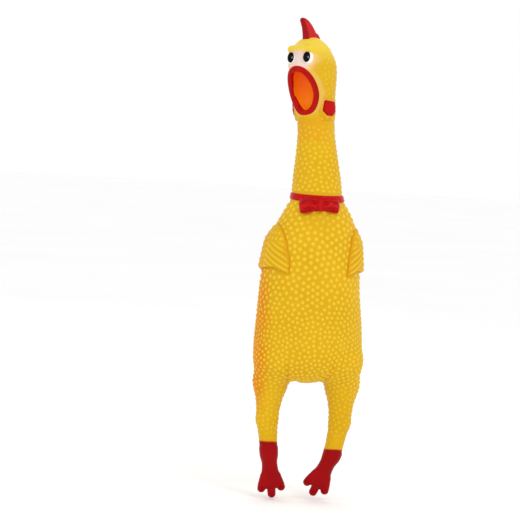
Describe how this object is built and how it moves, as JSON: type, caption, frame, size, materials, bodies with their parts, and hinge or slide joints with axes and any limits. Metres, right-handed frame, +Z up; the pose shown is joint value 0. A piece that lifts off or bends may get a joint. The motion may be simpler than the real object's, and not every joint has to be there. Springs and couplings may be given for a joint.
{
  "type": "rubber chicken",
  "caption": "Hollow soft vinyl chicken with a bow tie and a wide open beak; its neck and legs bend, and a squeeze of the belly sounds the reed in its throat.",
  "frame": {"origin": "middle of the hand's grip round the torso, on the body's axis", "axes": "+Z up along the body towards the head, breast faces -Y, the chicken's left side is +X"},
  "size_m": [0.091, 0.0795, 0.3993],
  "materials": {
    "skin_yellow": "soft satin vinyl, yellow with airbrushed orange, small raised goose bumps",
    "paint_red": "semi-gloss red spray paint on vinyl",
    "paint_dark_red": "satin dark red spray paint on vinyl",
    "paint_orange": "satin orange spray paint on vinyl",
    "paint_white": "satin white spray paint on vinyl",
    "paint_black": "gloss black paint on vinyl",
    "squeaker_plastic": "plain injection moulded plastic",
    "reed_plastic": "thin film strip"
  },
  "bodies": {
    "torso": {"torso_shell": "skin_yellow", "collar_band": "paint_red", "bow_tie": "paint_red", "bow_knot": "paint_red", "left_wing": "skin_yellow", "right_wing": "skin_yellow", "tail": "skin_yellow"},
    "belly": {"belly_panel": "skin_yellow"},
    "neck_lower": {"neck_lower": "skin_yellow"},
    "neck_upper": {"neck_upper": "skin_yellow"},
    "head": {"head_shell": "skin_yellow", "comb": "paint_red", "brow": "skin_yellow", "left_eye_white": "paint_white", "right_eye_white": "paint_white", "left_pupil": "paint_black", "right_pupil": "paint_black", "lip_ring": "paint_red", "mouth_lining": "paint_orange", "left_wattle": "paint_red", "right_wattle": "paint_red", "squeaker_housing": "squeaker_plastic", "reed_seat": "squeaker_plastic", "squeaker_cap": "squeaker_plastic"},
    "reed": {"reed_tongue": "reed_plastic"},
    "left_thigh": {"left_thigh": "skin_yellow"},
    "left_shin": {"left_shin": "skin_yellow"},
    "left_foot": {"left_foot": "paint_dark_red", "left_toenails": "paint_dark_red"},
    "right_thigh": {"right_thigh": "skin_yellow"},
    "right_shin": {"right_shin": "skin_yellow"},
    "right_foot": {"right_foot": "paint_dark_red", "right_toenails": "paint_dark_red"}
  },
  "joints": [
    {"name": "belly_squeeze", "type": "slide", "parent": "torso", "child": "belly", "axis": [0, 1, 0], "range_m": [0, 0.012], "stiffness_N_per_m": 400},
    {"name": "neck_bend", "type": "hinge", "parent": "torso", "child": "neck_lower", "pos_m": [0, 0, 0.096], "axis": [1, 0, 0], "range_deg": [-40, 40], "stiffness_Nm_per_rad": 0.6},
    {"name": "neck_tilt", "type": "hinge", "parent": "neck_lower", "child": "neck_upper", "pos_m": [-0.00173, 0, 0.11793], "axis": [0, 1, 0], "range_deg": [-40, 40], "stiffness_Nm_per_rad": 0.5},
    {"name": "head_turn", "type": "hinge", "parent": "neck_upper", "child": "head", "pos_m": [-0.00365, 0, 0.14236], "axis": [-0.0785, 0, 0.9969], "range_deg": [-50, 50], "stiffness_Nm_per_rad": 0.3},
    {"name": "reed_flutter", "type": "hinge", "parent": "head", "child": "reed", "pos_m": [-0.00142, 0.0029, 0.15096], "axis": [0.7049, -0.7071, 0.0555], "range_deg": [-2.5, 2.5], "stiffness_Nm_per_rad": 0.00002},
    {"name": "left_hip_swing", "type": "hinge", "parent": "torso", "child": "left_thigh", "pos_m": [-0.0305, 0, -0.076], "axis": [1, 0, 0], "range_deg": [-40, 40], "stiffness_Nm_per_rad": 0.15},
    {"name": "left_knee_splay", "type": "hinge", "parent": "left_thigh", "child": "left_shin", "pos_m": [-0.0305, 0, -0.104], "axis": [0, 1, 0], "range_deg": [-10, 45], "stiffness_Nm_per_rad": 0.1},
    {"name": "left_ankle_flex", "type": "hinge", "parent": "left_shin", "child": "left_foot", "pos_m": [-0.02731, 0, -0.132], "axis": [1, 0, 0], "range_deg": [-40, 40], "stiffness_Nm_per_rad": 0.05},
    {"name": "right_hip_swing", "type": "hinge", "parent": "torso", "child": "right_thigh", "pos_m": [0.0305, 0, -0.076], "axis": [1, 0, 0], "range_deg": [-40, 40], "stiffness_Nm_per_rad": 0.15},
    {"name": "right_knee_splay", "type": "hinge", "parent": "right_thigh", "child": "right_shin", "pos_m": [0.03099, 0, -0.104], "axis": [0, 1, 0], "range_deg": [-45, 10], "stiffness_Nm_per_rad": 0.1},
    {"name": "right_ankle_flex", "type": "hinge", "parent": "right_shin", "child": "right_foot", "pos_m": [0.02605, 0, -0.132], "axis": [1, 0, 0], "range_deg": [-40, 40], "stiffness_Nm_per_rad": 0.05}
  ]
}
